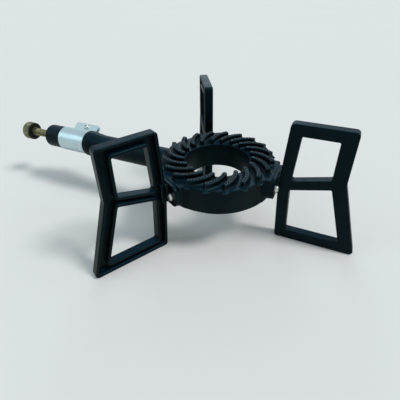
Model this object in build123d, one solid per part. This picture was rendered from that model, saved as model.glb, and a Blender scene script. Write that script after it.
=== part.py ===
from build123d import *
import os
from math import atan2, cos, degrees, radians, sin, sqrt

# Gas ring burner of cast iron on three bolted legs. All sizes are millimetres and degrees.
# The ring's axis is built on the Z axis, the mixing tube runs along -X, and the floor is z = 0.
# At the end every piece is shifted along X, so that the origin is the middle of the footprint.

# Burner ring
RING_RADIUS = 80.0
HOLE_RADIUS = 45.0
HOLE_FOOT_RADIUS = 42.5
RING_BOTTOM = 70.0
RING_HEIGHT = 35.6
RING_WALL = 4.5
RING_FLOOR = 4.5
RING_DECK = 5.0
RING_EDGE_ROUND = 1.5

# Raised ribs on the deck, and the flame ports drilled down their crests
RIB_COUNT = 20
RIB_FIRST_BEARING = -4.4
RIB_INNER_SETBACK = 4.2
RIB_OUTER_SETBACK = 4.0
RIB_START_ANGLE = 28.0
RIB_SWEEP = 23.0
RIB_WIDTH = 7.4
RIB_DRAFT_ANGLE = 4.0
RIB_HEIGHT = 7.4
RIB_ROOT = 2.0
RIB_CREST_ROUND = 1.5
RIB_SKIRT = 1.5
PORTS_PER_RIB = 8
PORT_RADIUS = 1.1
PORT_COUNTERSINK = 0.4
PORT_INNER_MARGIN = 4.0
PORT_OUTER_MARGIN = 4.0
PORT_OVERRUN = 1.0

# Lugs that the legs bolt to
LUG_STAND = 3.5
LUG_WIDTH = 56.0
LUG_HEIGHT = 32.0
LUG_CORNER_ROUND = 3.0
LUG_LOWER_ROUND = 11.0
LUG_BOSS_RADIUS = 8.0
LUG_BOSS_DEPTH = 14.0

# Legs, evenly spaced from bearing 0, with their corners as distances out from the lug's face
LEG_NAMES = ("right", "back", "front")
LEG_HEIGHT = 176.0
LEG_THICKNESS = 13.0
LEG_TOP_INNER = 9.5
LEG_TOP_OUTER = 85.0
LEG_WAIST_INNER = 5.5
LEG_WAIST_INNER_Z = 86.5
LEG_WAIST_OUTER = 87.0
LEG_WAIST_OUTER_Z = 107.5
LEG_FOOT_INNER = 11.5
LEG_FOOT_OUTER = 121.5
INNER_RAIL = 15.5
OUTER_RAIL = 17.8
TOP_BAR = 15.0
MID_BAR = 13.6
FOOT_BAR = 15.0
LEG_CORNER_ROUND = 5.0
WINDOW_CORNER_ROUND = 2.0
LEG_EDGE_ROUND = 1.5
CHANNEL_LIP = 4.6
CHANNEL_DEPTH = 8.0
CHANNEL_EDGE_ROUND = 2.8

# Pad that carries each leg on its lug, and its screws
PAD_LENGTH = 54.0
PAD_HEIGHT = 31.0
PAD_THICKNESS = 4.5
PAD_CORNER_ROUND = 10.5
PAD_EDGE_ROUND = 1.0
PAD_DROP = 0.8
NECK_FLARE = 2.0
SCREW_SPREAD = 30.0
SCREW_RADIUS = 3.0
SCREW_GRIP = 9.0
SCREW_HEAD_RADIUS = 5.2
SCREW_HEAD_HEIGHT = 4.0
TAPPED_CLEARANCE = 0.05
HOLE_CLEARANCE = 0.4
DRILL_POINT = 1.5

# Plugs in the ring's floor, one past each leg
CORE_PLUG_ANGLE = 30.0
CORE_PLUG_RADIUS = 6.0
CORE_PLUG_SLOT_WIDTH = 1.6
CORE_PLUG_SLOT_DEPTH = 1.8

# Mixing tube, as lengths from the ring's rim outwards
TUBE_RISE = 17.0
TUBE_RADIUS = 17.5
TUBE_PLAIN_LENGTH = 120.0
TAPER_LENGTH = 24.0
COLLAR_LENGTH = 7.0
COLLAR_RADIUS = 20.8
SEAT_RADIUS = 18.2
TUBE_END_LENGTH = 30.5
TUBE_END_RADIUS = 18.6
TUBE_END_ROUND = 2.5
TUBE_ROOT_ROUND = 4.0
BORE_RADIUS = 12.8
THROAT_RADIUS = 8.5
THROAT_LENGTH = 12.0
DIFFUSER_LENGTH = 70.0
INTAKE_LENGTH = 16.0

# Air band that turns on the tube; its angles run from straight up towards the back
BAND_WIDTH = 50.5
BAND_SIDE_CLEARANCE = 0.5
BAND_CLEARANCE = 0.3
BAND_SHEET = 1.0
BAND_GAP = 4.0
BAND_EAR_ANGLE = 57.0
BAND_EAR_REACH = 33.0
BAND_EAR_LENGTH = 47.0
BAND_EAR_SETBACK = -4.0
BAND_EAR_ROUND = 3.0
AIR_WINDOW_ANGLES = (105.0, 185.0)
AIR_WINDOW_SPAN = 40.0
AIR_WINDOW_LENGTH = 34.0
BAND_SCREW_RADIUS = 2.5
BAND_SCREW_REACH = 26.5
BAND_SCREW_HEAD_RADIUS = 4.6
BAND_SCREW_HEAD_HEIGHT = 3.4
BAND_SCREW_TAIL = 2.5
BAND_NUT_FLATS = 8.0
BAND_NUT_HEIGHT = 4.0

# Gas inlet at the tube's end
PLUG_RECESS = 2.0
PLUG_THICKNESS = 8.0
STEM_RADIUS = 6.5
STEM_BORE_RADIUS = 3.0
STEM_INSIDE_LENGTH = 6.0
STEM_OUTSIDE_LENGTH = 51.5
STEM_COLLAR_RADIUS = 9.2
STEM_COLLAR_THICKNESS = 2.5
SEAL_RADIUS = 10.5
SEAL_THICKNESS = 1.0
LOCK_NUT_FLATS = 19.0
LOCK_NUT_HEIGHT = 5.5
JET_SPIGOT_RADIUS = 3.2
JET_SPIGOT_LENGTH = 5.0
JET_BODY_RADIUS = 5.5
JET_BODY_LENGTH = 6.0
JET_NOSE_RADIUS = 2.2
JET_NOSE_LENGTH = 6.0
JET_ORIFICE_RADIUS = 0.6
UNION_NUT_RADIUS = 15.0
UNION_NUT_LENGTH = 14.0
UNION_NUT_SHOULDER = 3.0
UNION_NECK_RADIUS = 8.0
UNION_NECK_LENGTH = 6.0
UNION_NECK_TAPER = 1.0
UNION_NUT_EDGE = 1.2
UNION_THREAD_RADIUS = 9.9
UNION_RELIEF_RADIUS = 10.6
UNION_RELIEF_SPARE = 0.3
UNION_CLEARANCE = 0.1
GASKET_RADIUS = 9.2
GASKET_THICKNESS = 1.5

# Cross recess of the screws, as shares of the head
RECESS_LENGTH_SHARE = 1.1
RECESS_WIDTH_SHARE = 0.2
RECESS_DEPTH_SHARE = 0.4
HEAD_ROUND_SHARE = 0.6

# Places that follow from the sizes
LEG_BEARINGS = {name: i * 360 / len(LEG_NAMES) for i, name in enumerate(LEG_NAMES)}
CORE_PLUG_BEARINGS = [bearing + CORE_PLUG_ANGLE for bearing in LEG_BEARINGS.values()]
DECK_Z = RING_BOTTOM + RING_HEIGHT
GALLERY_INNER = HOLE_RADIUS + RING_WALL
GALLERY_OUTER = RING_RADIUS - RING_WALL
GALLERY_BOTTOM = RING_BOTTOM + RING_FLOOR
GALLERY_TOP = DECK_Z - RING_DECK
LUG_FACE = RING_RADIUS + LUG_STAND
SCREW_Z = RING_BOTTOM + RING_HEIGHT / 2
PAD_FACE = LUG_FACE + PAD_THICKNESS
PAD_Z = DECK_Z - PAD_DROP - PAD_HEIGHT / 2
TUBE_Z = RING_BOTTOM + TUBE_RISE
TAPER_START = RING_RADIUS + TUBE_PLAIN_LENGTH
COLLAR_START = TAPER_START + TAPER_LENGTH
SEAT_START = COLLAR_START + COLLAR_LENGTH
SEAT_END = SEAT_START + BAND_WIDTH + 2 * BAND_SIDE_CLEARANCE
TUBE_END = SEAT_END + TUBE_END_LENGTH
BAND_START = SEAT_START + BAND_SIDE_CLEARANCE
BAND_MIDDLE = BAND_START + BAND_WIDTH / 2
BAND_INNER = SEAT_RADIUS + BAND_CLEARANCE
BAND_OUTER = BAND_INNER + BAND_SHEET
PLUG_OUTER_FACE = TUBE_END - PLUG_RECESS
PLUG_INNER_FACE = PLUG_OUTER_FACE - PLUG_THICKNESS
STEM_START = PLUG_INNER_FACE - STEM_INSIDE_LENGTH
STEM_END = PLUG_OUTER_FACE + STEM_OUTSIDE_LENGTH
COLLAR_BACK = STEM_END - STEM_COLLAR_THICKNESS
UNION_START = COLLAR_BACK - UNION_CLEARANCE - UNION_NUT_SHOULDER
UNION_RELIEF_END = STEM_END + GASKET_THICKNESS + UNION_RELIEF_SPARE

# Local frame of the tube: Z runs outwards along the tube, X points up and Y points to the back.
ON_TUBE = Pos(0, 0, TUBE_Z) * Rot(0, -90, 0)


def turned(points):
    """Solid of revolution about Z through a closed list of (radius, height) points."""
    return revolve(Plane.XZ * make_face(Polyline(*points, close=True)), Axis.Z)


def tube_length(radius, start, end):
    """Round bar along Z from one height to another."""
    return Pos(0, 0, start) * Cylinder(radius, end - start, align=(Align.CENTER, Align.CENTER, Align.MIN))


def out_from_ring(bearing, out, across, height):
    """Place whose Z axis points outwards from the ring at a bearing."""
    return Rot(0, 0, bearing) * Pos(out, across, height) * Rot(0, 90, 0)


def cross_head_screw(shank_radius, shank_length, head_radius, head_height):
    """Screw along Z with its head's seat at z = 0 and its shank below."""
    dome = head_height * HEAD_ROUND_SHARE
    head = tube_length(head_radius, 0, head_height)
    head = fillet(head.edges().group_by(Axis.Z)[-1], dome)
    arm = Box(head_radius * RECESS_LENGTH_SHARE, head_radius * RECESS_WIDTH_SHARE,
              2 * head_height * RECESS_DEPTH_SHARE)
    head -= Pos(0, 0, head_height) * arm
    head -= Pos(0, 0, head_height) * Rot(0, 0, 90) * arm
    return head + tube_length(shank_radius, -shank_length, 0)


def hex_nut(flats, height, bore):
    """Hexagon nut standing on z = 0, with its corners turned down at both faces."""
    corner = flats / sqrt(3)
    turn = corner - flats / 2
    barrel = turned([(0, 0), (flats / 2, 0), (corner, turn), (corner, height - turn),
                     (flats / 2, height), (0, height)])
    body = extrude(RegularPolygon(flats / 2, 6, major_radius=False), height) & barrel
    return body - tube_length(bore, -height, 2 * height)


def lug_plan():
    """Outline of one lug at bearing 0, seen from above, from its flat face back into the ring."""
    length = LUG_FACE - GALLERY_INNER
    return Pos(GALLERY_INNER + length / 2, 0) * Rectangle(length, LUG_WIDTH)


def lug_undercut():
    """What comes off below a lug at bearing 0, to leave its lower corners round."""
    kept = RectangleRounded(2 * LUG_HEIGHT, LUG_WIDTH, LUG_LOWER_ROUND)
    cut = extrude(Rectangle(4 * LUG_HEIGHT, 2 * LUG_WIDTH) - kept, LUG_FACE)
    return out_from_ring(0, GALLERY_INNER, 0, DECK_Z) * cut - tube_length(RING_RADIUS, 0, 2 * DECK_Z)


def ring_body():
    """Solid ring with its three lugs, its hole that narrows downwards, and its rounded edges."""
    plan = Circle(RING_RADIUS)
    for bearing in LEG_BEARINGS.values():
        plan += Rot(0, 0, bearing) * lug_plan()
    plan = fillet(plan.vertices(), LUG_CORNER_ROUND)
    body = Pos(0, 0, RING_BOTTOM) * extrude(plan, RING_HEIGHT)
    body -= turned([(0, RING_BOTTOM), (HOLE_FOOT_RADIUS, RING_BOTTOM), (HOLE_RADIUS, DECK_Z), (0, DECK_Z)])
    rims = body.faces().filter_by(Axis.Z).edges()
    body = fillet(rims, RING_EDGE_ROUND)
    return body - [Rot(0, 0, bearing) * lug_undercut() for bearing in LEG_BEARINGS.values()]


def gallery():
    """Gas space inside the ring, drawn back from the bosses behind the leg screws."""
    space = extrude(Circle(GALLERY_OUTER) - Circle(GALLERY_INNER), GALLERY_TOP - GALLERY_BOTTOM)
    space = Pos(0, 0, GALLERY_BOTTOM) * space
    boss = tube_length(LUG_BOSS_RADIUS, -LUG_BOSS_DEPTH, 0)
    for bearing in LEG_BEARINGS.values():
        for side in (-1, 1):
            space -= out_from_ring(bearing, LUG_FACE, side * SCREW_SPREAD / 2, SCREW_Z) * boss
    return space


def rib_arc():
    """Centre, radius and start and end angles of the arc along one rib's middle.

    The arc leaves the inner end at RIB_START_ANGLE from the radius and ends RIB_SWEEP further
    clockwise round the ring, at the outer end.
    """
    inner = Vector(HOLE_RADIUS + RIB_INNER_SETBACK, 0, 0)
    outer = Vector(RING_RADIUS - RIB_OUTER_SETBACK, 0, 0).rotate(Axis.Z, -RIB_SWEEP)
    to_centre = Vector(0, -1, 0).rotate(Axis.Z, -RIB_START_ANGLE)
    chord = outer - inner
    radius = chord.length ** 2 / (2 * chord.dot(to_centre))
    centre = inner + to_centre * radius
    angles = [degrees(atan2(p.Y - centre.Y, p.X - centre.X)) for p in (inner, outer)]
    return centre, radius, angles[0], angles[1]


def rib():
    """One rib at bearing 0, with a round nose, a flat outer end, a rounded crest and a sloping skirt."""
    centre, radius, inner_angle, outer_angle = rib_arc()
    span = inner_angle - outer_angle
    outer_edge = CenterArc(centre, radius + RIB_WIDTH / 2, outer_angle, span)
    inner_edge = CenterArc(centre, radius - RIB_WIDTH / 2, outer_angle, span)
    end = Line(outer_edge @ 0, inner_edge @ 0)
    tip_way = (outer_edge % 1).normalized()
    middle = (outer_edge @ 1 + inner_edge @ 1) / 2
    nose = ThreePointArc(outer_edge @ 1, middle + tip_way * (RIB_WIDTH / 2), inner_edge @ 1)
    plan = make_face([outer_edge, end, inner_edge, nose])
    body = Pos(0, 0, DECK_Z - RIB_ROOT) * extrude(plan, RIB_HEIGHT + RIB_ROOT, taper=RIB_DRAFT_ANGLE)
    body = fillet(body.edges().group_by(Axis.Z)[-1], RIB_CREST_ROUND)
    skirt = extrude(offset(plan, RIB_SKIRT + RIB_ROOT), 1.5 * RIB_SKIRT + RIB_ROOT, taper=45)
    skirt = Pos(0, 0, DECK_Z - RIB_ROOT) * skirt
    return body + (skirt - tube_length(HOLE_RADIUS + RING_EDGE_ROUND, RING_BOTTOM, 2 * DECK_Z))


def rib_ports():
    """Drills for the flame ports of one rib at bearing 0, down into the gallery."""
    centre, radius, inner_angle, outer_angle = rib_arc()
    start = inner_angle - degrees(PORT_INNER_MARGIN / radius)
    step = (outer_angle + degrees(PORT_OUTER_MARGIN / radius) - start) / (PORTS_PER_RIB - 1)
    crest = DECK_Z + RIB_HEIGHT
    wide = PORT_RADIUS + PORT_COUNTERSINK
    drill = turned([(0, GALLERY_TOP - PORT_OVERRUN), (PORT_RADIUS, GALLERY_TOP - PORT_OVERRUN),
                    (PORT_RADIUS, crest - PORT_COUNTERSINK), (wide, crest),
                    (wide, crest + PORT_OVERRUN), (0, crest + PORT_OVERRUN)])
    places = [centre + Vector(radius, 0, 0).rotate(Axis.Z, start + step * i) for i in range(PORTS_PER_RIB)]
    return [Pos(place.X, place.Y, 0) * drill for place in places]


def tube_body():
    """Outside of the mixing tube: plain run, swelling collar, band seat and rounded end."""
    points = [(0, GALLERY_INNER + RING_WALL), (TUBE_RADIUS, GALLERY_INNER + RING_WALL),
              (TUBE_RADIUS, TAPER_START), (COLLAR_RADIUS, COLLAR_START), (COLLAR_RADIUS, SEAT_START),
              (SEAT_RADIUS, SEAT_START), (SEAT_RADIUS, SEAT_END), (TUBE_END_RADIUS, SEAT_END),
              (TUBE_END_RADIUS, TUBE_END), (0, TUBE_END)]
    body = turned(points)
    rim = body.edges().filter_by(GeomType.CIRCLE).group_by(Axis.Z)[-1]
    collar = [e for e in body.edges().filter_by(GeomType.CIRCLE) if abs(e.radius - COLLAR_RADIUS) < 0.01]
    body = fillet(list(rim) + collar, TUBE_END_ROUND)
    return ON_TUBE * body


def tube_bore():
    """Inside of the mixing tube: air chamber, intake cone, throat, diffuser and run to the gallery."""
    throat_end = SEAT_START - INTAKE_LENGTH
    throat_start = throat_end - THROAT_LENGTH
    diffuser_start = throat_start - DIFFUSER_LENGTH
    inside = GALLERY_INNER + PORT_OVERRUN
    points = [(0, inside), (BORE_RADIUS, inside), (BORE_RADIUS, diffuser_start),
              (THROAT_RADIUS, throat_start), (THROAT_RADIUS, throat_end), (BORE_RADIUS, SEAT_START),
              (BORE_RADIUS, TUBE_END), (0, TUBE_END)]
    return ON_TUBE * turned(points)


def air_windows():
    """Wedges that open the air windows, from the tube's axis outwards."""
    reach = 2 * BAND_OUTER
    half = AIR_WINDOW_SPAN / 2
    wedges = []
    for angle in AIR_WINDOW_ANGLES:
        corners = [Vector(reach, 0, 0).rotate(Axis.Z, angle + side * half) for side in (-1, 1)]
        wedge = extrude(make_face(Polyline((0, 0, 0), *corners, close=True)), AIR_WINDOW_LENGTH)
        wedges.append(ON_TUBE * Pos(0, 0, BAND_MIDDLE - AIR_WINDOW_LENGTH / 2) * wedge)
    return wedges


def tapped_holes():
    """Blind tapped holes in the lugs, one behind each leg screw."""
    depth = SCREW_GRIP + DRILL_POINT
    drill = tube_length(SCREW_RADIUS + TAPPED_CLEARANCE, -depth, DRILL_POINT)
    return [out_from_ring(bearing, LUG_FACE, side * SCREW_SPREAD / 2, SCREW_Z) * drill
            for bearing in LEG_BEARINGS.values() for side in (-1, 1)]


def core_holes():
    """Holes through the ring's floor for the core plugs."""
    drill = tube_length(CORE_PLUG_RADIUS + TAPPED_CLEARANCE, RING_BOTTOM - PORT_OVERRUN,
                        GALLERY_BOTTOM + PORT_OVERRUN)
    return [core_place(bearing) * drill for bearing in CORE_PLUG_BEARINGS]


def core_place(bearing):
    """Place of a core plug, midway across the gallery."""
    return Rot(0, 0, bearing) * Pos((GALLERY_INNER + GALLERY_OUTER) / 2, 0, 0)


def burner_casting():
    """Ring, ribs, lugs and mixing tube in one casting."""
    bearings = [RIB_FIRST_BEARING + i * 360 / RIB_COUNT for i in range(RIB_COUNT)]
    one_rib = rib()
    one_row = rib_ports()
    ring = ring_body()
    tube = tube_body()
    body = ring + tube
    root = new_edges(ring, tube, combined=body).filter_by(GeomType.BSPLINE)
    body = fillet(root, TUBE_ROOT_ROUND) - gallery() - tube_bore()
    body = body + [Rot(0, 0, bearing) * one_rib for bearing in bearings]
    drills = [Rot(0, 0, bearing) * drill for bearing in bearings for drill in one_row]
    return body - (drills + tapped_holes() + core_holes() + air_windows())


def core_plugs():
    """Threaded plugs with a screwdriver slot, flush with the ring's floor inside and out."""
    slot = Box(2 * CORE_PLUG_RADIUS + CORE_PLUG_SLOT_WIDTH, CORE_PLUG_SLOT_WIDTH, 2 * CORE_PLUG_SLOT_DEPTH)
    plug = tube_length(CORE_PLUG_RADIUS, RING_BOTTOM, GALLERY_BOTTOM) - Pos(0, 0, RING_BOTTOM) * slot
    return Compound([core_place(bearing) * plug for bearing in CORE_PLUG_BEARINGS])


def inset(corners, widths):
    """Corners of a convex polygon drawn in from each edge by that edge's own width.

    The corners run clockwise, and width i belongs to the edge from corner i to corner i + 1.
    """
    points = [Vector(*corner) for corner in corners]
    lines = []
    for start, end, width in zip(points, points[1:] + points[:1], widths):
        along = (end - start).normalized()
        lines.append((start + along.rotate(Axis.Z, -90) * width, along))
    result = []
    for (p, u), (q, v) in zip([lines[-1]] + lines[:-1], lines):
        gap = q - p
        share = (gap.X * v.Y - gap.Y * v.X) / (u.X * v.Y - u.Y * v.X)
        result.append(p + u * share)
    return result


def leg_outlines():
    """Leg's outer corners, and the corners of its upper and lower windows, as (out, height)."""
    top_inner = (LUG_FACE + LEG_TOP_INNER, LEG_HEIGHT)
    top_outer = (LUG_FACE + LEG_TOP_OUTER, LEG_HEIGHT)
    waist_outer = (LUG_FACE + LEG_WAIST_OUTER, LEG_WAIST_OUTER_Z)
    waist_inner = (LUG_FACE + LEG_WAIST_INNER, LEG_WAIST_INNER_Z)
    foot_outer = (LUG_FACE + LEG_FOOT_OUTER, 0)
    foot_inner = (LUG_FACE + LEG_FOOT_INNER, 0)
    outer = [top_inner, top_outer, waist_outer, foot_outer, foot_inner, waist_inner]
    upper = inset([top_inner, top_outer, waist_outer, waist_inner],
                  [TOP_BAR, OUTER_RAIL, MID_BAR / 2, INNER_RAIL])
    lower = inset([waist_inner, waist_outer, foot_outer, foot_inner],
                  [MID_BAR / 2, OUTER_RAIL, FOOT_BAR, INNER_RAIL])
    return outer, upper, lower


def rounded_face(corners, radius):
    """Face through the corners, each rounded."""
    face = make_face(Polyline(*corners, close=True))
    return fillet(face.vertices(), radius)


def leg():
    """One leg at bearing 0: a figure-eight frame, channelled on its +Y face, with its pad."""
    outer, upper, lower = leg_outlines()
    frame = rounded_face(outer, LEG_CORNER_ROUND)
    windows = [rounded_face(corners, WINDOW_CORNER_ROUND) for corners in (upper, lower)]
    plate = Plane.XZ * (frame - windows)
    plate = extrude(plate, LEG_THICKNESS / 2, both=True)
    plate = fillet(plate.faces().filter_by(Axis.Y).edges(), LEG_EDGE_ROUND)
    channel = offset(frame, -CHANNEL_LIP) - [offset(window, CHANNEL_LIP) for window in windows]
    depth = Plane.XZ.offset(CHANNEL_DEPTH - LEG_THICKNESS / 2) * channel
    plate -= extrude(depth, -2 * CHANNEL_DEPTH)
    lips = plate.faces().filter_by(Axis.Y).group_by(Axis.Y)[-1].sort_by(SortBy.AREA)
    brinks = lips[-1].inner_wires().edges()
    for lip in lips[:-1]:
        brinks += lip.outer_wire().edges()
    plate = fillet(brinks, CHANNEL_EDGE_ROUND)
    return plate + leg_pad() - pad_holes()


def leg_pad():
    """Rounded pad against the lug's face, and the neck that joins it to the inner rail."""
    pad = extrude(RectangleRounded(PAD_HEIGHT, PAD_LENGTH, PAD_CORNER_ROUND), PAD_THICKNESS)
    pad = out_from_ring(0, LUG_FACE, 0, PAD_Z) * pad
    pad = fillet(pad.faces().sort_by(Axis.X)[-1].outer_wire().edges(), PAD_EDGE_ROUND)
    half = LEG_THICKNESS / 2
    flare = [(LUG_FACE, half + NECK_FLARE), (PAD_FACE, half + NECK_FLARE), (PAD_FACE + NECK_FLARE, half),
             (LUG_FACE + LEG_WAIST_INNER + INNER_RAIL / 2, half)]
    plan = make_face(Polyline(*flare, *[(x, -y) for x, y in reversed(flare)], close=True))
    height = PAD_HEIGHT - 4 * PAD_EDGE_ROUND
    return pad + Pos(0, 0, PAD_Z - height / 2) * extrude(plan, height)


def pad_holes():
    """Clearance holes for the screws through the pad."""
    drill = tube_length(SCREW_RADIUS + HOLE_CLEARANCE, -DRILL_POINT, PAD_THICKNESS + DRILL_POINT)
    return [out_from_ring(0, LUG_FACE, side * SCREW_SPREAD / 2, SCREW_Z) * drill for side in (-1, 1)]


def leg_screws():
    """The two screws of every leg."""
    screw = cross_head_screw(SCREW_RADIUS, PAD_THICKNESS + SCREW_GRIP, SCREW_HEAD_RADIUS, SCREW_HEAD_HEIGHT)
    return Compound([out_from_ring(bearing, PAD_FACE, side * SCREW_SPREAD / 2, SCREW_Z) * screw
                     for bearing in LEG_BEARINGS.values() for side in (-1, 1)])


def on_band_ears():
    """Place between the band's two ears: X points out along them and Y from the lower to the upper."""
    return ON_TUBE * Pos(0, 0, BAND_START + BAND_EAR_SETBACK) * Rot(0, 0, BAND_EAR_ANGLE) * Rot(180, 0, 0)


def air_band():
    """Sheet band with its air windows, split between two ears that the band screw draws together.

    The ears start beside the collar and stand clear of it.
    """
    band = tube_length(BAND_OUTER, 0, BAND_WIDTH) - tube_length(BAND_INNER, 0, BAND_WIDTH)
    band = ON_TUBE * Pos(0, 0, BAND_START) * band
    slit = Box(BAND_OUTER, BAND_GAP, 2 * BAND_WIDTH, align=(Align.MIN, Align.CENTER, Align.CENTER))
    band -= on_band_ears() * Pos(BAND_INNER / 2, 0, -BAND_WIDTH / 2) * slit
    middle = (BAND_GAP + BAND_SHEET) / 2
    root = sqrt(((BAND_INNER + BAND_OUTER) / 2) ** 2 - middle ** 2)
    ear = Box(BAND_EAR_REACH - root, BAND_SHEET, BAND_EAR_LENGTH, align=(Align.MIN, Align.CENTER, Align.MAX))
    ear = fillet(ear.edges().filter_by(Axis.Y).group_by(Axis.X)[-1], BAND_EAR_ROUND)
    for side in (-1, 1):
        band += on_band_ears() * Pos(root, side * middle, 0) * ear
    drill = tube_length(BAND_SCREW_RADIUS + HOLE_CLEARANCE, -BAND_EAR_REACH, BAND_EAR_REACH)
    band -= band_screw_place() * drill
    band -= ON_TUBE * tube_length(COLLAR_RADIUS + BAND_SIDE_CLEARANCE, COLLAR_START, BAND_START)
    return band - air_windows()


def band_screw_place():
    """Place of the band screw: Z runs from the lower ear to the upper, from midway between them."""
    return on_band_ears() * Pos(BAND_SCREW_REACH, 0, -BAND_EAR_LENGTH / 2) * Rot(-90, 0, 0)


def band_screw():
    """Screw down through both ears, its head on the upper one."""
    grip = BAND_GAP + 2 * BAND_SHEET
    screw = cross_head_screw(BAND_SCREW_RADIUS, grip + BAND_NUT_HEIGHT + BAND_SCREW_TAIL,
                             BAND_SCREW_HEAD_RADIUS, BAND_SCREW_HEAD_HEIGHT)
    return band_screw_place() * Pos(0, 0, grip / 2) * screw


def band_nut():
    """Nut under the lower ear."""
    nut = hex_nut(BAND_NUT_FLATS, BAND_NUT_HEIGHT, BAND_SCREW_RADIUS + TAPPED_CLEARANCE)
    return band_screw_place() * Pos(0, 0, -BAND_GAP / 2 - BAND_SHEET - BAND_NUT_HEIGHT) * nut


def end_plug():
    """Plug in the tube's open end, drilled for the stem."""
    plug = tube_length(BORE_RADIUS - TAPPED_CLEARANCE, PLUG_INNER_FACE, PLUG_OUTER_FACE)
    return ON_TUBE * (plug - tube_length(STEM_RADIUS + TAPPED_CLEARANCE, STEM_START, STEM_END))


def inlet_stem():
    """Threaded stem with a bore, a socket for the jet and a collar for the union nut."""
    socket = JET_SPIGOT_RADIUS + TAPPED_CLEARANCE
    socket_end = STEM_START + JET_SPIGOT_LENGTH + TAPPED_CLEARANCE
    points = [(socket, STEM_START), (STEM_RADIUS, STEM_START), (STEM_RADIUS, COLLAR_BACK),
              (STEM_COLLAR_RADIUS, COLLAR_BACK), (STEM_COLLAR_RADIUS, STEM_END),
              (STEM_BORE_RADIUS, STEM_END), (STEM_BORE_RADIUS, socket_end), (socket, socket_end)]
    return ON_TUBE * turned(points)


def gas_jet():
    """Nozzle screwed into the stem's inner end, aimed down the tube."""
    nose_start = STEM_START - JET_BODY_LENGTH - JET_NOSE_LENGTH
    body_start = STEM_START - JET_BODY_LENGTH
    points = [(JET_ORIFICE_RADIUS, nose_start), (JET_NOSE_RADIUS, nose_start), (JET_BODY_RADIUS, body_start),
              (JET_BODY_RADIUS, STEM_START), (JET_SPIGOT_RADIUS, STEM_START),
              (JET_SPIGOT_RADIUS, STEM_START + JET_SPIGOT_LENGTH),
              (JET_ORIFICE_RADIUS, STEM_START + JET_SPIGOT_LENGTH)]
    return ON_TUBE * turned(points)


def stem_seal():
    """Sealing washer between the end plug and the lock nut."""
    return ON_TUBE * (tube_length(SEAL_RADIUS, PLUG_OUTER_FACE, PLUG_OUTER_FACE + SEAL_THICKNESS)
                      - tube_length(STEM_RADIUS + TAPPED_CLEARANCE, STEM_START, STEM_END))


def stem_lock_nut():
    """Nut that holds the stem on the end plug."""
    nut = hex_nut(LOCK_NUT_FLATS, LOCK_NUT_HEIGHT, STEM_RADIUS + TAPPED_CLEARANCE)
    return ON_TUBE * Pos(0, 0, PLUG_OUTER_FACE + SEAL_THICKNESS) * nut


def union_nut():
    """Round nut held behind the stem's collar, with its thread open to the hose side."""
    end = UNION_START + UNION_NUT_LENGTH
    bore = STEM_RADIUS + UNION_CLEARANCE
    shoulder = UNION_START + UNION_NUT_SHOULDER
    neck_start = UNION_START - UNION_NECK_LENGTH
    points = [(bore, neck_start), (UNION_NECK_RADIUS - UNION_NECK_TAPER, neck_start),
              (UNION_NECK_RADIUS, neck_start + UNION_NECK_TAPER), (UNION_NECK_RADIUS, UNION_START),
              (UNION_NUT_RADIUS - UNION_NUT_EDGE, UNION_START),
              (UNION_NUT_RADIUS, UNION_START + UNION_NUT_EDGE), (UNION_NUT_RADIUS, end - UNION_NUT_EDGE),
              (UNION_NUT_RADIUS - UNION_NUT_EDGE, end), (UNION_THREAD_RADIUS, end),
              (UNION_THREAD_RADIUS, UNION_RELIEF_END), (UNION_RELIEF_RADIUS, UNION_RELIEF_END),
              (UNION_RELIEF_RADIUS, shoulder), (bore, shoulder)]
    return ON_TUBE * turned(points)


def union_gasket():
    """Flat gasket on the stem's collar, inside the union nut."""
    return ON_TUBE * (tube_length(GASKET_RADIUS, STEM_END, STEM_END + GASKET_THICKNESS)
                      - tube_length(STEM_BORE_RADIUS, STEM_START, STEM_END + 2 * GASKET_THICKNESS))


def all_pieces():
    """Every piece by the name of its node, with the ring's axis on Z."""
    pieces = {"burner_casting": burner_casting(), "core_plugs": core_plugs(), "leg_screws": leg_screws(),
              "air_band": air_band(), "band_screw": band_screw(), "band_nut": band_nut(),
              "end_plug": end_plug(), "inlet_stem": inlet_stem(), "gas_jet": gas_jet(),
              "stem_seal": stem_seal(), "stem_lock_nut": stem_lock_nut(), "union_nut": union_nut(),
              "union_gasket": union_gasket()}
    one_leg = leg()
    for name, bearing in LEG_BEARINGS.items():
        pieces["leg_" + name] = Rot(0, 0, bearing) * one_leg
    return pieces


PIECES = all_pieces()
FOOTPRINT = Compound(list(PIECES.values())).bounding_box()
TO_FOOTPRINT = Pos(-FOOTPRINT.center().X, 0, 0)
os.makedirs("parts", exist_ok=True)
for node, piece in PIECES.items():
    export_step(TO_FOOTPRINT * piece, "parts/" + node + ".step")
print("ring axis at x =", round(-FOOTPRINT.center().X, 3))
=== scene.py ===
"""Looks of a cast gas ring burner on three bolted legs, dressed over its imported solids."""
import logging
from dataclasses import dataclass
from enum import Enum
from typing import Any, Sequence

import bpy
import numpy as np
from mathutils import Matrix, Vector


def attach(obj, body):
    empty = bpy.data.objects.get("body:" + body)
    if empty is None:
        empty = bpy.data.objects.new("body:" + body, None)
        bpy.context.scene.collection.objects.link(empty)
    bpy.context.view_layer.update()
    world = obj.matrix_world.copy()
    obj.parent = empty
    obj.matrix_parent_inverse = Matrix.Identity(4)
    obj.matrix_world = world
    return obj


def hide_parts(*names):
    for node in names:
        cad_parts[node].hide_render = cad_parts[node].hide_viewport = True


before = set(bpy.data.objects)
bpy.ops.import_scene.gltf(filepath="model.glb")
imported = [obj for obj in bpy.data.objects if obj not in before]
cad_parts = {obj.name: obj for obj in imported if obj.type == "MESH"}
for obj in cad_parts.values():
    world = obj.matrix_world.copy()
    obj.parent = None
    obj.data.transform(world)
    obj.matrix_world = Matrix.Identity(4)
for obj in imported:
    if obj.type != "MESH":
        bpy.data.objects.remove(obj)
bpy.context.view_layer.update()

LOG = logging.getLogger("burner")
MM = 0.001
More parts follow.
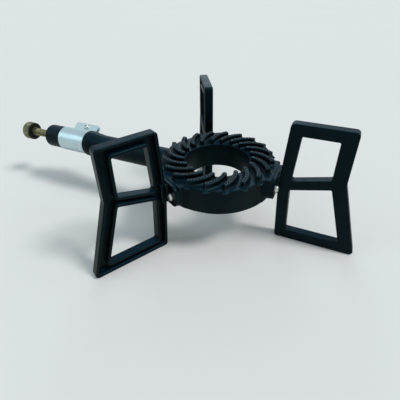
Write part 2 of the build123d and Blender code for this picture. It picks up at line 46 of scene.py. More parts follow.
TWO_PI = 2 * np.pi
# Name of the point attribute by which the finishes paint shade into grooves
GROOVE = "groove"
IMAGE_PX = 400
SENSOR_MM = 36.0
# Place of the ring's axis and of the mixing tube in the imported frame, in millimetres
RING_AXIS_X = 83.878
TUBE_Z = 87.0
# Sizes closer than this, in millimetres, count as the same
SAME = 0.01

Colour = tuple[float, float, float]
# A number, a tuple or a Wire
Value = Any


class Body(Enum):
    """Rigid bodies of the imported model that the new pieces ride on."""

    BURNER = "burner"
    UNION_NUT = "union_nut"


class Slot(Enum):
    """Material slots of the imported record."""

    PAINT = "black_paint"
    ZINC = "zinc"
    SHEET = "plated_sheet"
    BRASS = "brass"
    FIBRE = "fibre"
    RUBBER = "rubber"


class Way(Enum):
    """Directions that a surface can face, by the axis that they point along."""

    UP = "Z"
    TO_RING = "X"


@dataclass(frozen=True)
class Cloud:
    """Cloudy noise: lumps per metre, finer layers, their strength, and each axis's stretch."""

    scale: float
    detail: float = 3.0
    roughness: float = 0.55
    stretch: tuple[float, float, float] = (1.0, 1.0, 1.0)


@dataclass(frozen=True)
class Step:
    """Smooth step: the input levels low and high, and the results at and beyond them."""

    low: float
    high: float
    start: float = 0.0
    end: float = 1.0


@dataclass(frozen=True)
class Relief:
    """Fine relief of a surface: its strength from 0 to 1 and its height in metres."""

    strength: float
    height: float


class Wire:
    """One output socket, with arithmetic that adds Math nodes to its graph."""

    def __init__(self, graph: "Graph", socket: bpy.types.NodeSocket) -> None:
        """Keep the socket and the graph that it belongs to."""
        self.graph = graph
        self.socket = socket

    def __add__(self, other: Value) -> "Wire":
        """Sum of two values."""
        return self.graph.math("ADD", self, other)

    def __radd__(self, other: Value) -> "Wire":
        """Sum with a number on the left."""
        return self.graph.math("ADD", other, self)

    def __sub__(self, other: Value) -> "Wire":
        """Difference of two values."""
        return self.graph.math("SUBTRACT", self, other)

    def __rsub__(self, other: Value) -> "Wire":
        """Difference with a number on the left."""
        return self.graph.math("SUBTRACT", other, self)

    def __mul__(self, other: Value) -> "Wire":
        """Product of two values."""
        return self.graph.math("MULTIPLY", self, other)

    def __rmul__(self, other: Value) -> "Wire":
        """Product with a number on the left."""
        return self.graph.math("MULTIPLY", other, self)

    def ramp(self, step: Step) -> "Wire":
        """Value carried through a smooth step."""
        node = self.graph.node(
            "ShaderNodeMapRange", {"interpolation_type": "SMOOTHSTEP"},
            {"Value": self, "From Min": step.low, "From Max": step.high,
             "To Min": step.start, "To Max": step.end})
        return Wire(self.graph, node.outputs["Result"])


class Graph:
    """Node tree of a material or of the world."""

    def __init__(self, owner: bpy.types.Material | bpy.types.World) -> None:
        """Empty the owner's tree and keep both.

        Args:
            owner: Material or world that the tree belongs to.
        """
        owner.use_nodes = True
        self.owner = owner
        self.tree = owner.node_tree
        self.tree.nodes.clear()

    @classmethod
    def of_material(cls, name: str) -> "Graph":
        """Graph of a new material."""
        return cls(bpy.data.materials.new(name))

    def node(self, kind: str, settings: dict[str, Any] | None = None,
             inputs: dict[Any, Value] | None = None) -> bpy.types.Node:
        """Add a node.

        Args:
            kind: Blender's type name of the node.
            settings: Properties by name, which are set first.
            inputs: Values or wires by socket name or number.

        Returns:
            The new node.
        """
        made = self.tree.nodes.new(kind)
        for key, value in (settings or {}).items():
            setattr(made, key, value)
        for key, value in (inputs or {}).items():
            if isinstance(value, Wire):
                self.tree.links.new(value.socket, made.inputs[key])
            elif isinstance(value, tuple) and made.inputs[key].type == "RGBA":
                made.inputs[key].default_value = (*value, 1.0)
            else:
                made.inputs[key].default_value = value
        return made

    def math(self, operation: str, *values: Value) -> Wire:
        """Add a Math node for a number operation on values."""
        made = self.node("ShaderNodeMath", {"operation": operation}, dict(enumerate(values)))
        return Wire(self, made.outputs[0])

    def mix(self, factor: Value, first: Value, second: Value) -> Wire:
        """Blend of two colours."""
        made = self.node("ShaderNodeMix", {"data_type": "RGBA"}, {0: factor, 6: first, 7: second})
        return Wire(self, made.outputs[2])

    def place(self, stretch: Sequence[float]) -> Wire:
        """Object coordinates, stretched along each axis.

        Args:
            stretch: Scale along each axis.

        Returns:
            The coordinates.
        """
        source = self.node("ShaderNodeTexCoord")
        made = self.node("ShaderNodeMapping", None,
                         {"Vector": Wire(self, source.outputs["Object"]), "Scale": tuple(stretch)})
        return Wire(self, made.outputs[0])

    def noise(self, cloud: Cloud) -> Wire:
        """Cloudy noise from 0 to 1 in Object coordinates."""
        made = self.node("ShaderNodeTexNoise", None,
                         {"Vector": self.place(cloud.stretch), "Scale": cloud.scale,
                          "Detail": cloud.detail, "Roughness": cloud.roughness})
        return Wire(self, made.outputs["Fac"])

    def groove(self) -> Wire:
        """How deep the surface lies in a cut shape's grooves, 0 to 1, or 0 with nothing cut."""
        made = self.node("ShaderNodeAttribute", {"attribute_name": GROOVE})
        return Wire(self, made.outputs["Fac"])

    def facing(self, way: Way) -> Wire:
        """How far the surface faces one way.

        Args:
            way: The way.

        Returns:
            Value from -1 to 1.
        """
        source = self.node("ShaderNodeNewGeometry")
        parts = self.node("ShaderNodeSeparateXYZ", None, {0: Wire(self, source.outputs["Normal"])})
        return Wire(self, parts.outputs[way.value])

    def edges(self, radius: float) -> Wire:
        """How sharply the surface turns near a point.

        Args:
            radius: How far round the point it looks, in metres.

        Returns:
            Value from 0 on a flat to about 0.5 on an edge.
        """
        source = self.node("ShaderNodeNewGeometry")
        bent = self.node("ShaderNodeBevel", {"samples": 6}, {"Radius": radius})
        made = self.node("ShaderNodeVectorMath", {"operation": "DOT_PRODUCT"},
                         {0: Wire(self, bent.outputs[0]), 1: Wire(self, source.outputs["Normal"])})
        return 1.0 - Wire(self, made.outputs["Value"])

    def bump(self, height: Wire, relief: Relief) -> Wire:
        """Normal bent by a height map."""
        made = self.node("ShaderNodeBump", None, {"Height": height, "Strength": relief.strength,
                                                  "Distance": relief.height})
        return Wire(self, made.outputs[0])

    def finish(self, inputs: dict[str, Value]) -> bpy.types.Material:
        """Close the graph with one surface shader.

        Args:
            inputs: Values or wires of the shader's sockets.

        Returns:
            The material.
        """
        shader = self.node("ShaderNodeBsdfPrincipled", None, inputs)
        self.node("ShaderNodeOutputMaterial", None, {"Surface": Wire(self, shader.outputs[0])})
        return self.owner


@dataclass(frozen=True)
class BlackPaint:
    """Semi-gloss black paint, brushed over sand-cast iron."""

    name: str = "black_paint_on_cast_iron"
    deep: Colour = (0.0009, 0.0018, 0.0024)
    worn: Colour = (0.0018, 0.0038, 0.0054)
    # Teal colour of a dirt film on what faces up, with a painted sheen of the sky in it
    dust_and_sheen: Colour = (0.0010, 0.0190, 0.0410)
    # Bluish light colour of rubbed edges: worn-through paint with a painted glint on it
    bare_and_glint: Colour = (0.036, 0.084, 0.112)
    sheen: Colour = (0.32, 0.86, 1.0)
    specular: float = 0.12
    patches: Cloud = Cloud(55.0, 4.0)
    grain: Cloud = Cloud(900.0, 5.0, 0.6)
    lumps: Cloud = Cloud(190.0, 3.0, 0.5)
    upward: Step = Step(0.45, 0.98)
    dust_and_sheen_patches: Step = Step(0.3, 0.75, 0.45, 1.0)
    dust_and_sheen_share: float = 0.55
    edge_radius: float = 0.0022
    edge: Step = Step(0.05, 0.26)
    edge_grain: Step = Step(0.38, 0.62, 0.25, 0.9)
    rub_share: float = 0.8
    wear: Step = Step(0.3, 0.7)
    patch_rough: Step = Step(0.25, 0.75, 0.31, 0.42)
    grain_rough: Step = Step(0.3, 0.7, -0.03, 0.05)
    dust_rough: float = 0.05
    grain_height: float = 0.45
    relief: Relief = Relief(0.5, 0.0006)

    def material(self) -> bpy.types.Material:
        """Paint with cast grain, uneven gloss, a dirt film with a painted teal sheen on what faces
        up, rubbed edges with a painted glint, and painted shade in grooves.

        Returns:
            The material.
        """
        graph = Graph.of_material(self.name)
        patches = graph.noise(self.patches)
        grain = graph.noise(self.grain)
        lumps = graph.noise(self.lumps)
        # What faces up takes the dirt film with its painted teal sheen, in patches
        dust_and_sheen_mask = graph.facing(Way.UP).ramp(self.upward) * patches.ramp(self.dust_and_sheen_patches)
        # Rubbed edges show worn-through paint and a painted glint
        rubbed = graph.edges(self.edge_radius).ramp(self.edge) * grain.ramp(self.edge_grain)
        colour = graph.mix(patches.ramp(self.wear), self.deep, self.worn)
        colour = graph.mix(dust_and_sheen_mask * self.dust_and_sheen_share, colour, self.dust_and_sheen)
        colour = graph.mix(rubbed * self.rub_share, colour, self.bare_and_glint)
        # Painted shade: what lies in a groove, such as the inside of a port, takes the deep colour
        colour = graph.mix(graph.groove(), colour, self.deep)
        rough = patches.ramp(self.patch_rough) + dust_and_sheen_mask * self.dust_rough
        rough = rough + grain.ramp(self.grain_rough)
        height = grain * self.grain_height + lumps
        return graph.finish({"Base Color": colour, "Roughness": rough,
                             "Specular IOR Level": self.specular, "Specular Tint": self.sheen,
                             "Normal": graph.bump(height, self.relief)})


@dataclass(frozen=True)
class PlatedSheet:
    """Bright plated sheet, rolled round and a little scuffed."""

    name: str = "plated_sheet"
    bright: Colour = (0.52, 0.64, 0.67)
    dull: Colour = (0.44, 0.53, 0.55)
    streaks: Cloud = Cloud(60.0, 4.0, 0.6, (22.0, 1.0, 1.0))
    scuffs: Cloud = Cloud(130.0, 5.0, 0.65)
    dents: Cloud = Cloud(45.0, 1.0)
    scuffed: Step = Step(0.45, 0.75)
    streak_rough: Step = Step(0.3, 0.7, 0.30, 0.40)
    scuff_rough: Step = Step(0.5, 0.8, 0.0, 0.10)
    streak_height: float = 0.05
    relief: Relief = Relief(0.2, 0.0006)

    def material(self) -> bpy.types.Material:
        """Metal with rolling streaks round the tube, soft dents and dull scuffs.

        Returns:
            The material.
        """
        graph = Graph.of_material(self.name)
        streaks = graph.noise(self.streaks)
        scuffs = graph.noise(self.scuffs)
        dents = graph.noise(self.dents)
        colour = graph.mix(scuffs.ramp(self.scuffed), self.bright, self.dull)
        rough = streaks.ramp(self.streak_rough) + scuffs.ramp(self.scuff_rough)
        height = dents + streaks * self.streak_height
        return graph.finish({"Base Color": colour, "Roughness": rough, "Metallic": 1.0,
                             "Normal": graph.bump(height, self.relief)})


@dataclass(frozen=True)
class TurnedMetal:
    """Machined metal with fine turning marks, a film of age, and painted shade on what faces the
    ring and in grooves.
    """

    name: str
    clean: Colour
    aged: Colour
    gloss: float
    # Painted shade: how much of it the face toward the ring takes, and its colour
    shade_share: float = 0.0
    painted_shade: Colour = (0.004, 0.005, 0.0035)
    specular: float = 0.15
    film: Cloud = Cloud(160.0, 4.0, 0.6)
    marks: Cloud = Cloud(1500.0, 2.0, 0.5)
    edge_radius: float = 0.0006
    edge: Step = Step(0.04, 0.25)
    rub_share: float = 0.6
    to_ring: Step = Step(0.4, 0.85)
    shade_film: Step = Step(0.3, 0.7, 1.0, 0.98)
    # How dark the painted shade makes what lies deepest in a groove
    groove_shade: float = 0.85
    ageing: Step = Step(0.35, 0.7)
    dulling: Step = Step(0.3, 0.75, 0.0, 0.16)
    mark_rough: float = 0.05
    shade_rough: float = 0.25
    relief: Relief = Relief(0.25, 0.0001)

    def material(self) -> bpy.types.Material:
        """Metal that is cleaner on its edges, duller in patches, and painted in shade on one face
        and in grooves.

        Returns:
            The material.
        """
        graph = Graph.of_material(self.name)
        film = graph.noise(self.film)
        marks = graph.noise(self.marks)
        rubbed = graph.edges(self.edge_radius).ramp(self.edge)
        # Painted shade: darker, rougher and less metallic on the face toward the ring and in
        # grooves
        shade_mask = graph.facing(Way.TO_RING).ramp(self.to_ring) * film.ramp(self.shade_film)
        shade_mask = graph.math("MAXIMUM", shade_mask * self.shade_share, graph.groove() * self.groove_shade)
        colour = graph.mix(film.ramp(self.ageing), self.clean, self.aged)
        colour = graph.mix(rubbed * self.rub_share, colour, self.clean)
        colour = graph.mix(shade_mask, colour, self.painted_shade)
        rough = self.gloss + film.ramp(self.dulling) + marks * self.mark_rough
        rough = rough + shade_mask * self.shade_rough
        return graph.finish({"Base Color": colour, "Roughness": rough, "Metallic": 1.0 - shade_mask,
                             "Specular IOR Level": self.specular,
                             "Normal": graph.bump(marks, self.relief)})


@dataclass(frozen=True)
class SealStuff:
    """Soft seal of rubber or pressed fibre."""

    name: str
    colour: Colour
    flecks: Colour
    specks: Cloud = Cloud(1400.0, 4.0, 0.7)
    flecked: Step = Step(0.45, 0.7)
    rough: Step = Step(0.3, 0.7, 0.7, 0.9)
    relief: Relief = Relief(0.4, 0.0001)

    def material(self) -> bpy.types.Material:
        """Matt stuff with fine flecks.

        Returns:
            The material.
        """
        graph = Graph.of_material(self.name)
        specks = graph.noise(self.specks)
        colour = graph.mix(specks.ramp(self.flecked), self.colour, self.flecks)
        return graph.finish({"Base Color": colour, "Roughness": specks.ramp(self.rough),
                             "Normal": graph.bump(specks, self.relief)})


@dataclass(frozen=True)
class Finishes:
    """Finishes of the slots, and of two pieces that look different from their slot."""

    paint: BlackPaint = BlackPaint()
    # The rims' paint is rubbed lighter, and their film and edges carry the same painted sheen and
    # glint as the paint
    rims: BlackPaint = BlackPaint("rubbed_port_rims", worn=(0.088, 0.116, 0.132),
                                  dust_and_sheen=(0.120, 0.155, 0.176), bare_and_glint=(0.190, 0.226, 0.244))
    sheet: PlatedSheet = PlatedSheet()
    zinc: TurnedMetal = TurnedMetal("zinc_plate", (0.72, 0.72, 0.70), (0.45, 0.45, 0.43), 0.24)
    brass: TurnedMetal = TurnedMetal("aged_brass", (0.325, 0.305, 0.175), (0.135, 0.130, 0.072),
                                     0.30)
    # The union nut's face toward the ring is painted in full shade
    nut: TurnedMetal = TurnedMetal("brass_with_painted_shade", (0.31, 0.305, 0.18), (0.125, 0.123, 0.070),
                                   0.30, shade_share=1.0)
    fibre: SealStuff = SealStuff("red_fibre", (0.30, 0.09, 0.05), (0.38, 0.16, 0.09))
    rubber: SealStuff = SealStuff("black_rubber", (0.025, 0.025, 0.025), (0.05, 0.05, 0.05))

    def materials(self) -> dict[Slot, bpy.types.Material]:
        """Make every slot's material once."""
        by_slot = {Slot.PAINT: self.paint, Slot.ZINC: self.zinc, Slot.SHEET: self.sheet,
                   Slot.BRASS: self.brass, Slot.FIBRE: self.fibre, Slot.RUBBER: self.rubber}
        return {slot: finish.material() for slot, finish in by_slot.items()}


def closed_meshes(name: str, points: np.ndarray, groove: np.ndarray,
                  sharp: float) -> bpy.types.Object:
    """Make an object of grids that each close on themselves both ways.

    In each grid, point (i, j) joins (i + 1, j) and (i, j + 1), with both numbers taken round their
    lengths. The faces are turned round as a whole if the enclosed volume comes out negative.

    Args:
        name: Name of the object and its mesh.
        points: Array of grids by rows by columns by 3, in metres.
        groove: How deep each point lies in a groove, from 0 to 1, to be spread over the grids.
        sharp: Angle in degrees above which an edge stays sharp.

    Returns:
        The object, linked into the scene.
    """
    index = np.arange(points[..., 0].size).reshape(points.shape[:3])
    right = np.roll(index, -1, 2)
    corners = [index, right, np.roll(right, -1, 1), np.roll(index, -1, 1)]
    faces = np.stack(corners, -1).reshape(-1, 4)
    flat = points.reshape(-1, 3)
    a, b, c, d = (flat[faces[:, k]] for k in range(4))
    volume = np.einsum("ij,ij->i", a, np.cross(b, c) + np.cross(c, d)).sum()
    if volume < 0:
        faces = faces[:, ::-1]
    made = mesh_object(name, flat, faces, sharp)
    depth = np.broadcast_to(groove, points.shape[:3]).ravel()
    made.data.attributes.new(GROOVE, "FLOAT", "POINT").data.foreach_set("value", depth)
    return made


def mesh_object(name: str, points: np.ndarray, faces: np.ndarray,
                sharp: float) -> bpy.types.Object:
    """Make a smooth-shaded object from points and four-cornered faces.

    Args:
        name: Name of the object and its mesh.
        points: Array of points by 3, in metres.
        faces: Array of faces by 4 point numbers.
        sharp: Angle in degrees above which an edge stays sharp.

    Returns:
        The object, linked into the scene.
    """
    mesh = bpy.data.meshes.new(name)
    mesh.from_pydata(points.tolist(), [], faces.tolist())
    mesh.update()
    mesh.shade_smooth()
    mesh.set_sharp_from_angle(angle=np.radians(sharp))
    made = bpy.data.objects.new(name, mesh)
    bpy.context.scene.collection.objects.link(made)
    return made


def along_tube(radius: np.ndarray, reach: np.ndarray, turn: np.ndarray) -> np.ndarray:
    """Points round the mixing tube's axis.

    A point lies at the reach from the ring's axis along -X, at the radius from the tube's axis,
    and at the turn from straight up towards the back.

    Args:
        radius: Distances from the tube's axis, in millimetres.
        reach: Distances from the ring's axis, in millimetres.
        turn: Angles in radians.

    Returns:
        Array with one more axis of 3 coordinates, in metres.
    """
    radius, reach, turn = np.broadcast_arrays(radius, reach, turn)
    across, above = radius * np.sin(turn), TUBE_Z + radius * np.cos(turn)
    return np.stack([RING_AXIS_X - reach, across, above], -1) * MM


def dense(corners: Sequence[tuple[float, float]], step: float) -> np.ndarray:
    """Points along a closed outline, with its corners kept and its long runs divided.

    Args:
        corners: (radius, reach) corners in order.
        step: Longest run between points, in millimetres.

    Returns:
        Array of points by 2.
    """
    start = np.array(corners, float)
    end = np.roll(start, -1, 0)
    counts = np.maximum(1, np.ceil(np.linalg.norm(end - start, axis=1) / step)).astype(int)
    runs = [a + (b - a) * np.arange(n)[:, None] / n for a, b, n in zip(start, end, counts)]
    return np.concatenate(runs)


def run_out(reach: np.ndarray, start: float, end: float, length: float) -> np.ndarray:
    """Share from 0 to 1 that rises from the start and falls to the end, each over a length."""
    return np.clip((reach - start) / length, 0, 1) * np.clip((end - reach) / length, 0, 1)


def thread_wave(reach: np.ndarray, turn: np.ndarray, pitch: float, flatness: float) -> np.ndarray:
    """Cosine of reach over pitch less turns, raised by the flatness and cut off at -1 and 1."""
    return np.clip(flatness * np.cos(TWO_PI * reach / pitch - turn), -1, 1)


@dataclass
class Piece:
    """A new piece with the node that it stands for."""

    name: str
    node: str | None
    body: Body
    slot: Slot

    def take(self, made: bpy.types.Object, material: bpy.types.Material) -> bpy.types.Object:
        """Dress the piece, hand it to its body and hide the node that it stands for, if any.

        Args:
            made: Object of the piece.
            material: Finish of the piece.

        Returns:
            The same object.
        """
        made.data.materials.append(material)
        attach(made, self.body.value)
        if self.node:
            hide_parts(self.node)
        LOG.info("%s rides on %s for %s", self.name, self.body.value, self.node or "itself")
        return made


@dataclass
class ThreadedStem(Piece):
    """Gas stem with a cut thread, a bore and a collar at its outer end."""

    start: float = 297.0
    end: float = 362.5
    radius: float = 6.5
    bore: float = 3.0
    socket: float = 3.25
    socket_depth: float = 5.05
    collar: float = 9.2
    collar_thickness: float = 2.5
    pitch: float = 2.2
    depth: float = 1.1
    flatness: float = 1.7
    rows_per_pitch: int = 6
    columns: int = 40
    sharp: float = 50.0

    def build(self, material: bpy.types.Material) -> bpy.types.Object:
        """Carry the stem's outline round its axis.

        On the threaded run the radius falls from the crest by the depth times a flattened cosine
        of reach over pitch less turns, so that the groove climbs one pitch in each turn.

        Args:
            material: Finish of the stem.

        Returns:
            The stem.
        """
        back = self.end - self.collar_thickness
        floor = self.start + self.socket_depth
        outline = dense([(self.socket, self.start), (self.radius, self.start), (self.radius, back),
                         (self.collar, back), (self.collar, self.end), (self.bore, self.end),
                         (self.bore, floor), (self.socket, floor)],
                        self.pitch / self.rows_per_pitch)
        turn = np.linspace(0, TWO_PI, self.columns, endpoint=False)
        radius, reach = outline[:, :1], outline[:, 1:]
        on_thread = (np.abs(radius - self.radius) < SAME) & (reach < back - SAME)
        wave = thread_wave(reach, turn, self.pitch, self.flatness)
        groove = on_thread * run_out(reach, self.start, back, self.pitch) * (0.5 - 0.5 * wave)
        points = along_tube(radius - groove * self.depth, reach, turn)[None]
        # The finish paints shade into the thread's grooves by their depth
        return self.take(closed_meshes(self.name, points, groove, self.sharp), material)


@dataclass
class UnionNut(Piece):
    """Round union nut with a fluted grip, a six-sided neck and a thread in its mouth."""

    start: float = 356.9
    length: float = 14.0
    radius: float = 15.0
    edge: float = 1.2
    shoulder: float = 3.0
    neck_corner: float = 8.0
    neck_flat: float = 7.3
    neck_sides: int = 6
    neck_length: float = 6.0
    neck_taper: float = 0.6
    bore: float = 6.6
    relief: float = 10.6
    relief_end: float = 364.3
    thread: float = 9.9
    thread_pitch: float = 1.8
    thread_depth: float = 0.9
    thread_flatness: float = 1.6
    thread_run_out: float = 0.6
    rows_per_pitch: int = 5
    flutes: int = 40
    flute_depth: float = 0.55
    flute_run_out: float = 0.8
    # Share of the flutes' depth by which the finish paints shade into them
    flute_shade: float = 0.5
    columns: int = 240
    sharp: float = 35.0

    def outline(self) -> np.ndarray:
        """Outline of the nut's wall before its flutes, flats and thread.

        Returns:
            Closed array of (radius, reach) points, in millimetres.
        """
        end = self.start + self.length
        neck = self.start - self.neck_length
        floor = self.start + self.shoulder
        return dense([(self.bore, neck), (self.neck_corner - self.neck_taper, neck),
                      (self.neck_corner, neck + self.neck_taper), (self.neck_corner, self.start),
                      (self.radius - self.edge, self.start), (self.radius, self.start + self.edge),
                      (self.radius, end - self.edge), (self.radius - self.edge, end),
                      (self.thread, end), (self.thread, self.relief_end),
                      (self.relief, self.relief_end), (self.relief, floor), (self.bore, floor)],
                     self.thread_pitch / self.rows_per_pitch)

    def build(self, material: bpy.types.Material) -> bpy.types.Object:
        """Carry the nut's outline round its axis.

        The grip's radius dips by the flute depth times half of one less a cosine of the turn times
        the number of flutes. The neck's radius is the flat distance over the cosine of the turn
        within its side, and no more than its corner. The mouth's thread swings about the thread
        radius as the stem's does.

        Args:
            material: Finish of the nut.

        Returns:
            The nut.
        """
        end = self.start + self.length
        outline = self.outline()
        turn = np.linspace(0, TWO_PI, self.columns, endpoint=False)
        radius, reach = outline[:, :1], outline[:, 1:]
        grip = run_out(reach, self.start + self.edge, end - self.edge, self.flute_run_out)
        grip = grip * (radius > self.radius - SAME)
        groove = grip * (0.5 - 0.5 * np.cos(turn * self.flutes))
        mouth = run_out(reach, self.relief_end, end, self.thread_run_out)
        mouth = mouth * (np.abs(radius - self.thread) < SAME)
        wave = thread_wave(reach, turn, self.thread_pitch, self.thread_flatness)
        shape = radius - groove * self.flute_depth + mouth * self.thread_depth * 0.5 * wave
        side = TWO_PI / self.neck_sides
        flat = self.neck_flat / np.cos(np.mod(turn, side) - side / 2)
        on_neck = (reach < self.start + SAME) & (radius < self.neck_corner + SAME)
        on_neck = on_neck & (radius > self.bore + SAME)
        shape = np.where(on_neck, np.minimum(shape, flat), shape)
        points = along_tube(shape, reach, turn)[None]
        made = closed_meshes(self.name, points, self.flute_shade * groove, self.sharp)
        return self.take(made, material)


@dataclass
class PortRims(Piece):
    """Raised rims round the flame ports, along the crest of every rib."""

    ribs: int = 20
    ports: int = 8
    first_bearing: float = -4.4
    inner: float = 49.2
    outer: float = 76.0
    start_angle: float = 28.0
    sweep: float = 23.0
    margin: float = 4.0
    crest: float = 113.0
    columns: int = 10
    funnel: float = 1.5
    sharp: float = 60.0
    profile: tuple[tuple[float, float], ...] = (
        (1.12, -0.9), (1.12, 0.02), (1.45, 0.08), (1.60, 0.45), (1.85, 0.42), (2.06, -0.9))

    def places(self) -> np.ndarray:
        """Middles of all the ports.

        A rib's middle is an arc that leaves the inner radius at the start angle from the ring's
        radius and meets the outer radius one sweep further round, clockwise. Its centre lies square
        to that start, at half the chord squared over the chord's share along the way to the centre.
        The ports divide the arc evenly between the margins, and the ribs divide the ring evenly.

        Returns:
            Array of ports by 2, in millimetres from the ring's axis.
        """
        start, sweep = np.radians([self.start_angle, self.sweep])
        first = np.array([self.inner, 0.0])
        last = self.outer * np.array([np.cos(sweep), -np.sin(sweep)])
        inward = np.array([-np.sin(start), -np.cos(start)])
        chord = last - first
        radius = chord @ chord / (2 * chord @ inward)
        centre = first + radius * inward
        ends = [np.arctan2(*(point - centre)[::-1]) for point in (first, last)]
        inset = self.margin / radius
        along = np.linspace(ends[0] - inset, ends[1] + inset, self.ports)
        row = centre + radius * np.stack([np.cos(along), np.sin(along)], -1)
        turn = np.radians(self.first_bearing) + TWO_PI * np.arange(self.ribs) / self.ribs
        spin = np.array([[np.cos(turn), -np.sin(turn)], [np.sin(turn), np.cos(turn)]])
        return np.einsum("xyr,py->rpx", spin, row).reshape(-1, 2)

    def build(self, material: bpy.types.Material) -> bpy.types.Object:
        """Carry the rim's closed profile round every port.

        A point lies at the profile's radius from its port's middle, at the column's angle, and at
        the profile's height over the crest. What is within the funnel's radius counts as a groove,
        which the finish paints in shade.

        Args:
            material: Finish of the rims.

        Returns:
            The rims, as one piece.
        """
        radius, height = np.array(self.profile).T
        turn = np.linspace(0, TWO_PI, self.columns, endpoint=False)[:, None]
        level = self.crest + height
        ring = np.broadcast_arrays(radius * np.cos(turn), radius * np.sin(turn), level)
        places = np.pad(self.places() + [RING_AXIS_X, 0.0], ((0, 0), (0, 1)))
        points = (places[:, None, None, :] + np.stack(ring, -1)) * MM
        inside = (radius < self.funnel).astype(float)
        return self.take(closed_meshes(self.name, points, inside, self.sharp), material)


@dataclass
class PaintedNodes:
    """Solids of the frame that keep their shape and take a finish."""

    slots: tuple[tuple[str, Slot], ...] = (
        ("burner_casting", Slot.PAINT), ("leg_right", Slot.PAINT), ("leg_back", Slot.PAINT),
        ("leg_front", Slot.PAINT), ("core_plugs", Slot.PAINT), ("leg_screws", Slot.ZINC),
        ("band_screw", Slot.ZINC), ("band_nut", Slot.ZINC), ("air_band", Slot.SHEET),
        ("end_plug", Slot.BRASS), ("gas_jet", Slot.BRASS), ("stem_lock_nut", Slot.BRASS),
        ("stem_seal", Slot.FIBRE), ("union_gasket", Slot.RUBBER))

    def dress(self, materials: dict[Slot, bpy.types.Material]) -> None:
        """Give each node its slot's material.

        Args:
            materials: Materials by slot.
        """
        for name, slot in self.slots:
            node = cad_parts[name]
            node.data.materials.clear()
            node.data.materials.append(materials[slot])
            LOG.info("%s takes %s", name, slot.value)


@dataclass
class PhotoCamera:
    """Camera at the photograph's viewing angle, in degrees and millimetres from the ring's axis.

    Its nearest and farthest distances are in metres.
    """

    place: tuple[float, float, float] = (135.89, -360.02, 323.96)
    heading: float = -24.533
    pitch: float = 37.096
    roll: float = -1.145
    focal_px: float = 310.24
    nearest: float = 0.01
    farthest: float = 100.0

    def build(self) -> bpy.types.Object:
        """Make the camera and make it the scene's own.

        Returns:
            The camera.
        """
        heading, pitch, roll = np.radians([self.heading, self.pitch, self.roll])
        level = Vector((np.cos(heading), -np.sin(heading), 0.0))
        ahead = Vector((np.sin(heading) * np.cos(pitch), np.cos(heading) * np.cos(pitch),
                        -np.sin(pitch)))
        above = level.cross(ahead)
        right = level * np.cos(roll) + above * np.sin(roll)
        up = above * np.cos(roll) - level * np.sin(roll)
        data = bpy.data.cameras.new("camera")
        data.sensor_width = SENSOR_MM
        data.lens = SENSOR_MM * self.focal_px / IMAGE_PX
        data.clip_start = self.nearest
        data.clip_end = self.farthest
        made = bpy.data.objects.new("camera", data)
        stand = (Vector(self.place) + Vector((RING_AXIS_X, 0.0, 0.0))) * MM
        turn = Matrix((right, up, -ahead)).transposed().to_4x4()
        made.matrix_world = Matrix.Translation(stand) @ turn
        bpy.context.scene.collection.objects.link(made)
        bpy.context.scene.camera = made
        return made


@dataclass(frozen=True)
class SoftLamp:
    """Far soft lamp: the way to it, its width in degrees and its watts per square metre."""

    name: str
    way: tuple[float, float, float]
    width: float
    power: float
    colour: Colour

    def build(self) -> None:
        """Hang the lamp so that it shines from its way towards the object."""
        data = bpy.data.lights.new(self.name, "SUN")
        data.angle = np.radians(self.width)
        data.energy = self.power
        data.color = self.colour
        made = bpy.data.objects.new(self.name, data)
        made.location = self.way
        made.rotation_euler = (-Vector(self.way)).to_track_quat("-Z", "Y").to_euler()
        bpy.context.scene.collection.objects.link(made)


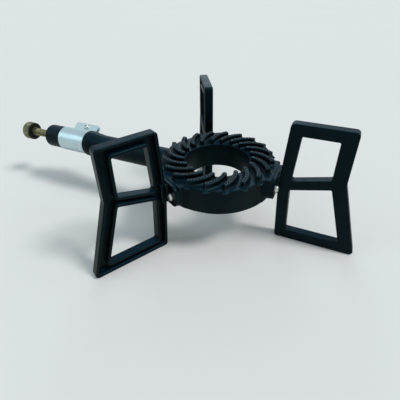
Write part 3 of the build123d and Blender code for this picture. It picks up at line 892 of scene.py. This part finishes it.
@dataclass
class Studio:
    """Plain pale floor under soft light, with a pale backdrop behind it."""

    floor_colour: Colour = (0.80, 0.79, 0.775)
    floor_shade: float = 0.97
    floor_patches: Cloud = Cloud(3.0, 2.0)
    floor_rough: float = 0.9
    floor_specular: float = 0.2
    floor_half: float = 12.0
    floor_sharp: float = 30.0
    sky: Colour = (0.33, 0.36, 0.38)
    backdrop: Colour = (0.66, 0.74, 0.78)
    lamps: tuple[SoftLamp, ...] = (
        SoftLamp("key", (0.61, 0.08, 0.79), 14.0, 1.60, (1.0, 0.98, 0.95)),
        SoftLamp("side", (-0.67, -0.43, 0.60), 34.0, 0.27, (0.70, 0.93, 1.0)),
        SoftLamp("back", (-0.30, 0.82, 0.49), 32.0, 0.42, (0.70, 0.92, 1.0)),
        SoftLamp("ceiling", (0.14, 0.06, 0.97), 44.0, 0.42, (0.74, 0.93, 1.0)))

    def build(self) -> None:
        """Lay the floor, hang the lamps and set the sky."""
        half = self.floor_half
        corners = half * np.array([[-1, -1, 0], [1, -1, 0], [1, 1, 0], [-1, 1, 0]])
        floor = mesh_object("floor", corners, np.array([[0, 1, 2, 3]]), self.floor_sharp)
        floor.data.materials.append(self.floor_material())
        for lamp in self.lamps:
            lamp.build()
        bpy.context.scene.world = self.world()
        bpy.context.scene.view_settings.view_transform = "Standard"

    def floor_material(self) -> bpy.types.Material:
        """Matt pale floor with faint cloudy patches.

        Returns:
            The material.
        """
        graph = Graph.of_material("pale_floor")
        shade = tuple(self.floor_shade * c for c in self.floor_colour)
        colour = graph.mix(graph.noise(self.floor_patches), self.floor_colour, shade)
        return graph.finish({"Base Color": colour, "Roughness": self.floor_rough,
                             "Specular IOR Level": self.floor_specular})

    def world(self) -> bpy.types.World:
        """Sky that lights the object, and shows as a backdrop to the camera, in gloss and glass.

        Returns:
            The world.
        """
        made = bpy.data.worlds.new("studio")
        graph = Graph(made)
        path = graph.node("ShaderNodeLightPath")
        rays = [Wire(graph, path.outputs[name])
                for name in ("Is Camera Ray", "Is Glossy Ray", "Is Transmission Ray")]
        seen = graph.math("MAXIMUM", graph.math("MAXIMUM", rays[0], rays[1]), rays[2])
        colour = graph.mix(seen, self.sky, self.backdrop)
        back = graph.node("ShaderNodeBackground", None, {"Color": colour})
        graph.node("ShaderNodeOutputWorld", None, {"Surface": Wire(graph, back.outputs[0])})
        return made


def main() -> None:
    """Build the camera, the studio and every piece in order."""
    logging.basicConfig(level=logging.INFO, format="%(name)s: %(message)s")
    PhotoCamera().build()
    Studio().build()
    finishes = Finishes()
    materials = finishes.materials()
    PaintedNodes().dress(materials)
    stem = ThreadedStem("threaded_stem", "inlet_stem", Body.BURNER, Slot.BRASS)
    stem.build(materials[Slot.BRASS])
    nut = UnionNut("fluted_union_nut", "union_nut", Body.UNION_NUT, Slot.BRASS)
    nut.build(finishes.nut.material())
    rims = PortRims("port_rims", None, Body.BURNER, Slot.PAINT)
    rims.build(finishes.rims.material())


if __name__ == "__main__":
    main()
